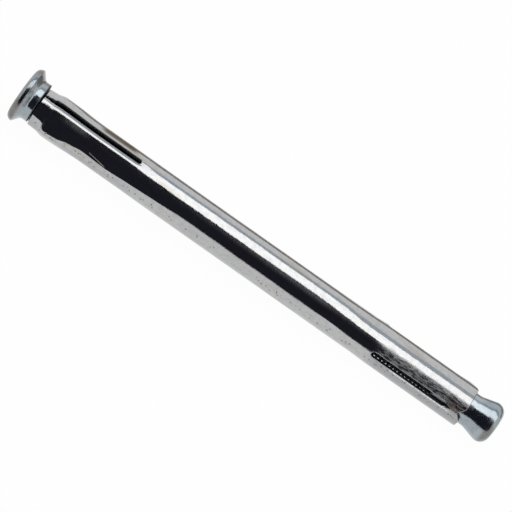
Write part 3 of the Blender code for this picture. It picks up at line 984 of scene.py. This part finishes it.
THREAD_SHARES = (0.0, 0.1, 0.24, 0.34, 0.4375, 0.5625, 0.66, 0.76, 0.9, 1.0)
thread = bmesh.new()
one_pitch = []
for share in THREAD_SHARES:
    one_pitch.append((thread_radius(share), 0, THREAD_START - THREAD_PITCH + share * THREAD_PITCH))
corners, edges = add_chain(thread, one_pitch)
turns = THREAD_LENGTH / THREAD_PITCH + 1
spin_round(thread, corners + edges, round(turns * THREAD_STEPS), climb=THREAD_PITCH, turns=turns)
close_up(thread)
for height, outwards in ((THREAD_START, -1), (SCREW_LENGTH, 1)):
    geometry = thread.verts[:] + thread.edges[:] + thread.faces[:]
    bmesh.ops.bisect_plane(
        thread,
        geom=geometry,
        plane_co=(0, 0, height),
        plane_no=(0, 0, outwards),
        dist=ON_CUT,
        clear_outer=True,
    )
for vertex in thread.verts:
    radius = Vector(vertex.co.xy).length
    above, below = vertex.co.z - THREAD_START, SCREW_LENGTH - vertex.co.z
    faded = SHANK_RADIUS + (radius - SHANK_RADIUS) * ease(above / FADE_LENGTH)
    wanted = min(faded, THREAD_RADIUS - THREAD_CHAMFER + below)
    vertex.co.xy *= wanted / radius
print("the thread has", len(thread.faces), "faces")

# %% [markdown]
# ### One closed screw
#
# Shank and thread end in open rings. A bridge joins the two that face each other, and a face closes the
# last one. Its middle is raised to the low dome that the cut end of a screw has. The count of open
# edges shows whether the screw is closed, which the Boolean of the next step needs.

# %% Join the thread to the shank and close the end


def merge_in(shape, other):
    """Adds another drawn shape to this one, and frees it."""
    carrier = bpy.data.meshes.new("carrier")
    other.to_mesh(carrier)
    other.free()
    shape.from_mesh(carrier)
    bpy.data.meshes.remove(carrier)


merge_in(screw, thread)
open_edges = [edge for edge in screw.edges if edge.is_boundary]
at_start = [edge for edge in open_edges if edge.verts[0].co.z < THREAD_START + THREAD_PITCH]
at_end = [edge for edge in open_edges if edge.verts[0].co.z > SCREW_LENGTH - THREAD_PITCH]
bmesh.ops.bridge_loops(screw, edges=at_start)
end_face = bmesh.ops.contextual_create(screw, geom=at_end)["faces"]
bmesh.ops.recalc_face_normals(screw, faces=screw.faces)
for vertex in bmesh.ops.poke(screw, faces=end_face)["verts"]:
    vertex.co.z = SCREW_LENGTH + SCREW_END_DOME
print("open edges left on the screw:", sum(edge.is_boundary for edge in screw.edges))

# %% [markdown]
# ## The cross recess
#
# A punch with four tapered wings forms the recess in the head. The punch is drawn from two crossed
# blades and a cone, with rounded wing tips. It is taken away from the head by Booleans, because a cross
# with sloping walls fits no ring of a turned face that an inset could start from.

# %% Cut the recess
CUTTER_OVERRUN = 1.0
WING_ROUNDING = 0.25
WING_ROUNDING_STEPS = 3
CORE_SIDES = 48


def as_object(name, shape):
    """Puts a drawn shape into the scene as it is."""
    mesh = bpy.data.meshes.new(name)
    shape.to_mesh(mesh)
    shape.free()
    item = bpy.data.objects.new(name, mesh)
    SCENE.collection.objects.link(item)
    return item


def take_away(shape, cutters):
    """The shape without the volume of the cutters, as a new bmesh."""
    base = as_object("base", shape)
    tools = [as_object("tool", cutter) for cutter in cutters]
    for tool in tools:
        boolean = base.modifiers.new("cut", "BOOLEAN")
        boolean.operation = "DIFFERENCE"
        boolean.solver = "EXACT"
        boolean.object = tool
    graph = bpy.context.evaluated_depsgraph_get()
    result = bpy.data.meshes.new_from_object(base.evaluated_get(graph))
    left = bmesh.new()
    left.from_mesh(result)
    for item in [base] + tools:
        mesh = item.data
        bpy.data.objects.remove(item, do_unlink=True)
        bpy.data.meshes.remove(mesh)
    bpy.data.meshes.remove(result)
    return left


def recess_blade(turn):
    """Two wings of the punch in one blade, wide at the face and narrow at the floor."""
    blade = bmesh.new()
    bmesh.ops.create_cube(blade, size=1)
    slope = (RECESS_SPAN - RECESS_FLOOR_SPAN) / RECESS_DEPTH
    for vertex in blade.verts:
        at_floor = vertex.co.z > 0
        vertex.co.x *= RECESS_FLOOR_SPAN if at_floor else RECESS_SPAN + slope * CUTTER_OVERRUN
        vertex.co.y *= RECESS_WING_FLOOR_WIDTH if at_floor else RECESS_WING_WIDTH
        vertex.co.z = RECESS_DEPTH if at_floor else -CUTTER_OVERRUN
    upright = [edge for edge in blade.edges if edge.verts[0].co.z != edge.verts[1].co.z]
    bmesh.ops.bevel(
        blade,
        geom=upright,
        offset=WING_ROUNDING,
        affect="EDGES",
        segments=WING_ROUNDING_STEPS,
        profile=0.5,
        material=-1,
    )
    bmesh.ops.rotate(blade, verts=blade.verts, cent=(0, 0, 0), matrix=Matrix.Rotation(turn, 3, "Z"))
    return blade


def recess_core():
    """The cone between the wings."""
    core = bmesh.new()
    bmesh.ops.create_cone(
        core,
        cap_ends=True,
        segments=CORE_SIDES,
        radius1=RECESS_CORE_RADIUS,
        radius2=RECESS_CORE_FLOOR_RADIUS,
        depth=RECESS_DEPTH + CUTTER_OVERRUN,
    )
    bmesh.ops.translate(core, verts=core.verts, vec=(0, 0, (RECESS_DEPTH - CUTTER_OVERRUN) / 2))
    return core


punch = [recess_blade(RECESS_TURN), recess_blade(RECESS_TURN + pi / 2), recess_core()]
screw = take_away(screw, punch)
keep_inside_flats(screw)
finish_piece("forged_screw", screw, ANCHOR_PLACE, "screw", "screw", [SCREW_ZINC])

# %% [markdown]
# ## The cone nut
#
# The neck of the nut stands in the sleeve, and the cone outside it is what spreads the legs. Outside and
# bore could be two spins that are bridged. Here one closed loop is spun, up the outer side from the
# narrow end, over the round end and back down the bore, so the nut is closed from the start.

# %% Spin the nut
NUT_FILLET_POINTS = 5
NUT_END_POINTS = 16


def nut_profile():
    """Round the whole section of the nut, from the mouth of its bore at the narrow end."""
    fillet_centre = (NUT_NECK_RADIUS + NUT_CONE_FILLET, CONE_START)
    end_centre = (NUT_RADIUS - NUT_END_ROUNDING, NUT_WIDEST)
    bore = THREAD_RADIUS + THREAD_CLEARANCE
    mouth = bore + NUT_BORE_CHAMFER
    mouth_angle = acos((mouth - end_centre[0]) / NUT_END_ROUNDING)
    bore_end = NUT_WIDEST + NUT_END_ROUNDING * sin(mouth_angle) - NUT_BORE_CHAMFER
    fillet = (NUT_CONE_FILLET, NUT_CONE_FILLET)
    rounding = (NUT_END_ROUNDING, NUT_END_ROUNDING)
    points = [(mouth, 0, 0.0), (NUT_NECK_RADIUS - NUT_LEAD_CHAMFER, 0, 0.0)]
    points.append((NUT_NECK_RADIUS, 0, NUT_LEAD_CHAMFER))
    points += arc(fillet_centre, fillet, pi, pi - NUT_CONE_ANGLE, NUT_FILLET_POINTS)
    points += arc(end_centre, rounding, -NUT_CONE_ANGLE, mouth_angle, NUT_END_POINTS)
    points.append((bore, 0, bore_end))
    points.append((bore, 0, NUT_BORE_CHAMFER))
    return points


nut = bmesh.new()
corners, edges = add_chain(nut, nut_profile(), closed=True)
spin_round(nut, corners + edges, TURN_STEPS)
close_up(nut)
print("the nut without its thread has", len(nut.faces), "faces")

# %% [markdown]
# ### The thread of its bore
#
# The nut's thread is a ridge that runs in the groove of the screw's. It is swept like the screw's, but
# as a closed ridge whose foot is sunk into the wall of the bore, and both ends sink away in it too. The
# first ridge stands half a pitch off the screw's crests, so that the two threads don't cut each other.

# %% Sweep the thread of the bore
NUT_THREAD_INNER = 2.56
NUT_THREAD_TOP = 0.14
NUT_THREAD_BACK = 3.06
NUT_THREAD_SUNK = NUT_THREAD_BACK - 0.02
NUT_THREAD_FADE = 0.8
NUT_THREAD_SHORT = 1.4

ridge_start = (NUT_LENGTH - THREAD_LENGTH) % THREAD_PITCH
ridge_end = NUT_LENGTH - NUT_THREAD_SHORT
ridge_turns = (ridge_end - ridge_start) / THREAD_PITCH
ridge_foot = NUT_THREAD_TOP + (NUT_THREAD_BACK - NUT_THREAD_INNER) * tan(THREAD_FLANK_ANGLE)
ridge = bmesh.new()
ridge_profile = [
    (NUT_THREAD_BACK, 0, ridge_start - ridge_foot),
    (NUT_THREAD_INNER, 0, ridge_start - NUT_THREAD_TOP),
    (NUT_THREAD_INNER, 0, ridge_start + NUT_THREAD_TOP),
    (NUT_THREAD_BACK, 0, ridge_start + ridge_foot),
]
corners, edges = add_chain(ridge, ridge_profile, closed=True)
spin_round(ridge, corners + edges, round(ridge_turns * THREAD_STEPS), climb=THREAD_PITCH, turns=ridge_turns)
close_up(ridge)
ridge_ends = [edge for edge in ridge.edges if edge.is_boundary]
for side in (-1, 1):
    cap = [edge for edge in ridge_ends if (edge.verts[0].co.z - NUT_LENGTH / 2) * side > 0]
    bmesh.ops.contextual_create(ridge, geom=cap)
for vertex in ridge.verts:
    radius = Vector(vertex.co.xy).length
    to_end = min(vertex.co.z, ridge_end - vertex.co.z)
    low = NUT_THREAD_SUNK - (NUT_THREAD_SUNK - radius) * ease(to_end / NUT_THREAD_FADE)
    vertex.co.xy *= max(radius, low) / radius
bmesh.ops.recalc_face_normals(ridge, faces=ridge.faces)
merge_in(nut, ridge)
keep_inside_flats(nut)
finish_piece("cone_nut_zinc", nut, NUT_PLACE, "cone_nut", "cone_nut", [NUT_ZINC])

# %% [markdown]
# ## The studio
#
# The anchor lies on a white sheet in front of a white backdrop, and its polished zinc shows the room in
# bands. A long softbox over it draws the white band. The frame of that softbox is the blue-grey line
# behind the band. The room in front is dark and gives the black band, which fades upwards where light
# spills to its ceiling. A low dark wall far behind draws the thin dark line along the top, and a strip
# of shade on the sheet behind the anchor the one under it. Both fade to white at the head, which shows
# no such line. The front of the sheet lies in the dark of the room.
#
# Lamps alone could light it, but a mirror needs something to show. So each part of the room is a card
# whose brightness is set directly. The camera sees none of the cards, only the reflections do.

# %% The finishes of the cards
PAPER_WHITE = colour(0.86, 0.86, 0.86)
LIT_WHITE = colour(0.97, 0.97, 0.97)
PURE_WHITE = colour(1, 1, 1)
GLOW_TO_CAMERA = 0.97
GLOW_TO_MIRRORS = 0.93
STUDIO = 1.6
ROOM_HIGH = radians(76.0)
SPILL_LOW = radians(30.0)
SHADE_START = 0.03
SHADE_END = 0.22


def ray_kinds(nodes):
    """1 for a ray of the camera, a ray off a gloss and a ray through glass."""
    outputs = nodes.outputs(nodes.add("LightPath"))
    return outputs["Is Camera Ray"], outputs["Is Glossy Ray"], outputs["Is Transmission Ray"]


def white_sheet():
    """Paper that catches shadows, but is seen almost as bright as the backdrop."""
    material, nodes = new_finish("white sheet")
    seen, glossy, through_glass = ray_kinds(nodes)
    paper = nodes.add("BsdfDiffuse", {}, {"Color": PAPER_WHITE})
    glow = nodes.add("Emission", {}, {"Color": PURE_WHITE, "Strength": 1.0})
    share = seen * GLOW_TO_CAMERA + (glossy + through_glass) * GLOW_TO_MIRRORS
    shown = nodes.add("MixShader", {}, {0: share, 1: paper, 2: glow})
    nodes.add("OutputMaterial", {}, {"Surface": shown})
    return material


def card_finish(name, shade_of):
    """A card that shines by itself; a function gives its colour at a place, in metres."""
    material, nodes = new_finish(name)
    shade = shade_of(nodes, nodes.add("TexCoord", out="Object"))
    card = nodes.add("Emission", {}, {"Color": shade, "Strength": 1.0})
    nodes.add("OutputMaterial", {}, {"Surface": card})
    return material


def dark_room(nodes, place):
    """Black below, with the spill of the softbox growing towards its upper edge."""
    beside, _, height = nodes.parts(place)
    rise = height.between(STUDIO * sin(SPILL_LOW), STUDIO * sin(ROOM_HIGH))
    spill = rise * rise * rise * rise * beside.between(0.0, 0.08)
    return nodes.mix(spill, colour(0.019, 0.019, 0.028), colour(0.24, 0.24, 0.25))


def sheet_in_shade(nodes, place):
    """The front of the white sheet, which falls into the dark of the room."""
    _, depth, _ = nodes.parts(place)
    return nodes.mix(depth.between(-SHADE_START, -SHADE_END), LIT_WHITE, colour(0.02, 0.02, 0.03))


def frame_of_softbox(nodes, place):
    """One blue-grey all over, whatever the place."""
    return colour(0.57, 0.63, 0.69)


def wall_behind(nodes, place):
    """A brown-grey wall that turns white towards the head of the anchor."""
    beside, _, _ = nodes.parts(place)
    return nodes.mix(beside.between(-0.17, -0.11), LIT_WHITE, colour(0.30, 0.28, 0.26))


def shade_behind(nodes, place):
    """A strip of shade that turns white towards the head of the anchor."""
    beside, _, _ = nodes.parts(place)
    return nodes.mix(beside.between(-0.065, -0.045), LIT_WHITE, colour(0.27, 0.25, 0.23))


# %% [markdown]
# ### Sheet, cards and softbox
#
# Seen from the anchor, all that matters of a card is between which elevations it stands, so the room is
# a long vault whose parts are spun from one elevation to the next. The lamp itself is a rectangle that
# covers the elevations between the room and the frame of the softbox.

# %% Set up the studio
STUDIO_LENGTH = 5.0
FLOOR_SIZE = 12.0
VAULT_STEPS = 24
ROOM_LOW = radians(-1.0)
SOFTBOX_LOW = ROOM_HIGH
SOFTBOX_HIGH = radians(116.5)
FRAME_HIGH = radians(133.0)
WALL_LOW = radians(170.0)
WALL_HIGH = radians(181.0)
SOFTBOX_HEIGHT = 1.0
SOFTBOX_LENGTH = 3.0
SOFTBOX_STRENGTH = 1.0
CARD_HEIGHT = 0.0004
GROOVE_START = 0.034
GROOVE_END = 0.4


def stage_object(name, shape, finish):
    item = as_object(name, shape)
    item.data.materials.append(finish)
    return item


def only_in_reflections(card):
    card.visible_camera = False
    card.visible_diffuse = False
    card.visible_shadow = False


def studio_card(name, low, high, shade_of):
    """A part of a long vault round the anchor, from one elevation to another."""
    card = bmesh.new()
    edge = Vector((0, -STUDIO * cos(low), STUDIO * sin(low)))
    corners, edges = add_chain(card, [edge + Vector((side * STUDIO_LENGTH / 2, 0, 0)) for side in (-1, 1)])
    bmesh.ops.spin(
        card,
        geom=corners + edges,
        cent=(0, 0, 0),
        axis=(-1, 0, 0),
        angle=high - low,
        steps=VAULT_STEPS,
        use_duplicate=False,
        use_merge=False,
    )
    only_in_reflections(stage_object(name, card, card_finish(name.replace("_", " "), shade_of)))


def lying_card(name, near, far, shade_of):
    """A strip of the sheet along the anchor, from one distance to another."""
    card = bmesh.new()
    bmesh.ops.create_grid(card, x_segments=1, y_segments=1, size=0.5)
    bmesh.ops.scale(card, vec=(STUDIO_LENGTH, far - near, 1), verts=card.verts)
    bmesh.ops.translate(card, vec=(0, (near + far) / 2, CARD_HEIGHT), verts=card.verts)
    only_in_reflections(stage_object(name, card, card_finish(name.replace("_", " "), shade_of)))


def softbox(name, low, high, height, length, strength):
    """A lamp that spans two elevations as the anchor sees them, at a height above it."""
    near, far = height / tan(low), height / tan(high)
    light = bpy.data.lights.new(name, "AREA")
    light.shape = "RECTANGLE"
    light.size = length
    light.size_y = near - far
    light.energy = strength * length * (near - far) * pi
    lamp = bpy.data.objects.new(name, light)
    lamp.location = (0, -(near + far) / 2, height)
    SCENE.collection.objects.link(lamp)
    print(name, "is", round(length, 2), "x", round(near - far, 2), "m and has", round(light.energy, 2), "W")


floor = bmesh.new()
bmesh.ops.create_grid(floor, x_segments=1, y_segments=1, size=FLOOR_SIZE / 2)
stage_object("floor", floor, white_sheet())
lying_card("front_of_sheet", -STUDIO, -SHADE_START, sheet_in_shade)
lying_card("shade_behind", GROOVE_START, GROOVE_END, shade_behind)
studio_card("room_in_front", ROOM_LOW, ROOM_HIGH, dark_room)
studio_card("frame_of_softbox", SOFTBOX_HIGH, FRAME_HIGH, frame_of_softbox)
studio_card("wall_behind", WALL_LOW, WALL_HIGH, wall_behind)
softbox("overhead_softbox", SOFTBOX_LOW, SOFTBOX_HIGH, SOFTBOX_HEIGHT, SOFTBOX_LENGTH, SOFTBOX_STRENGTH)

# %% [markdown]
# ## The backdrop
#
# Behind the sheet the picture is plain white. The world does that without an object. It lights the
# matt sheet with less than it shows, or the shadow under the anchor would be washed out.

# %% Light the world
BACKDROP_LIGHT = 0.55


def white_backdrop():
    """Full white where it is seen, directly or in a gloss, and dimmer as a light."""
    world = bpy.data.worlds.new("backdrop")
    world.use_nodes = True
    nodes = Nodes(world.node_tree)
    seen, glossy, through_glass = ray_kinds(nodes)
    strength = BACKDROP_LIGHT + (seen + glossy + through_glass) * (1 - BACKDROP_LIGHT)
    backdrop = nodes.add("Background", {}, {"Color": PURE_WHITE, "Strength": strength})
    nodes.add("OutputWorld", {}, {"Surface": backdrop})
    return world


SCENE.world = white_backdrop()
print("the backdrop lights with", BACKDROP_LIGHT, "of its brightness")

# %% [markdown]
# ## The camera
#
# The photograph looks down on the anchor at 46 degrees, square to its axis, from far enough that both
# ends have the same scale. The camera is rolled, so that the anchor runs down to the right. A camera
# could be aimed by a constraint, but its three directions are known, and they are its matrix.

# %% Place the camera
CAMERA_ELEVATION = radians(46.0)
CAMERA_ROLL = radians(34.82)
CAMERA_DISTANCE = 0.76
CAMERA_LENS = 249.46
CAMERA_SENSOR = 36.0
CAMERA_NEAR = 0.01
CAMERA_AIM = Vector((0, 0, 0.0056))
AIM_RIGHT = -0.00067
AIM_UP = 0.000865

back = Vector((0, -cos(CAMERA_ELEVATION), sin(CAMERA_ELEVATION)))
level_right = Vector((1, 0, 0))
level_up = back.cross(level_right)
right = level_right * cos(CAMERA_ROLL) + level_up * sin(CAMERA_ROLL)
up = back.cross(right)
lens = bpy.data.cameras.new("camera")
lens.lens = CAMERA_LENS
lens.sensor_width = CAMERA_SENSOR
lens.clip_start = CAMERA_NEAR
camera = bpy.data.objects.new("camera", lens)
aim = CAMERA_AIM + right * AIM_RIGHT + up * AIM_UP
pose = Matrix((right, up, back)).transposed().to_4x4()
camera.matrix_world = Matrix.Translation(aim + back * CAMERA_DISTANCE) @ pose
SCENE.collection.objects.link(camera)
SCENE.camera = camera
SCENE.view_settings.view_transform = "Standard"
seen_width = CAMERA_DISTANCE * CAMERA_SENSOR / CAMERA_LENS
print("the picture is", round(seen_width / MM, 1), "mm wide at the anchor")
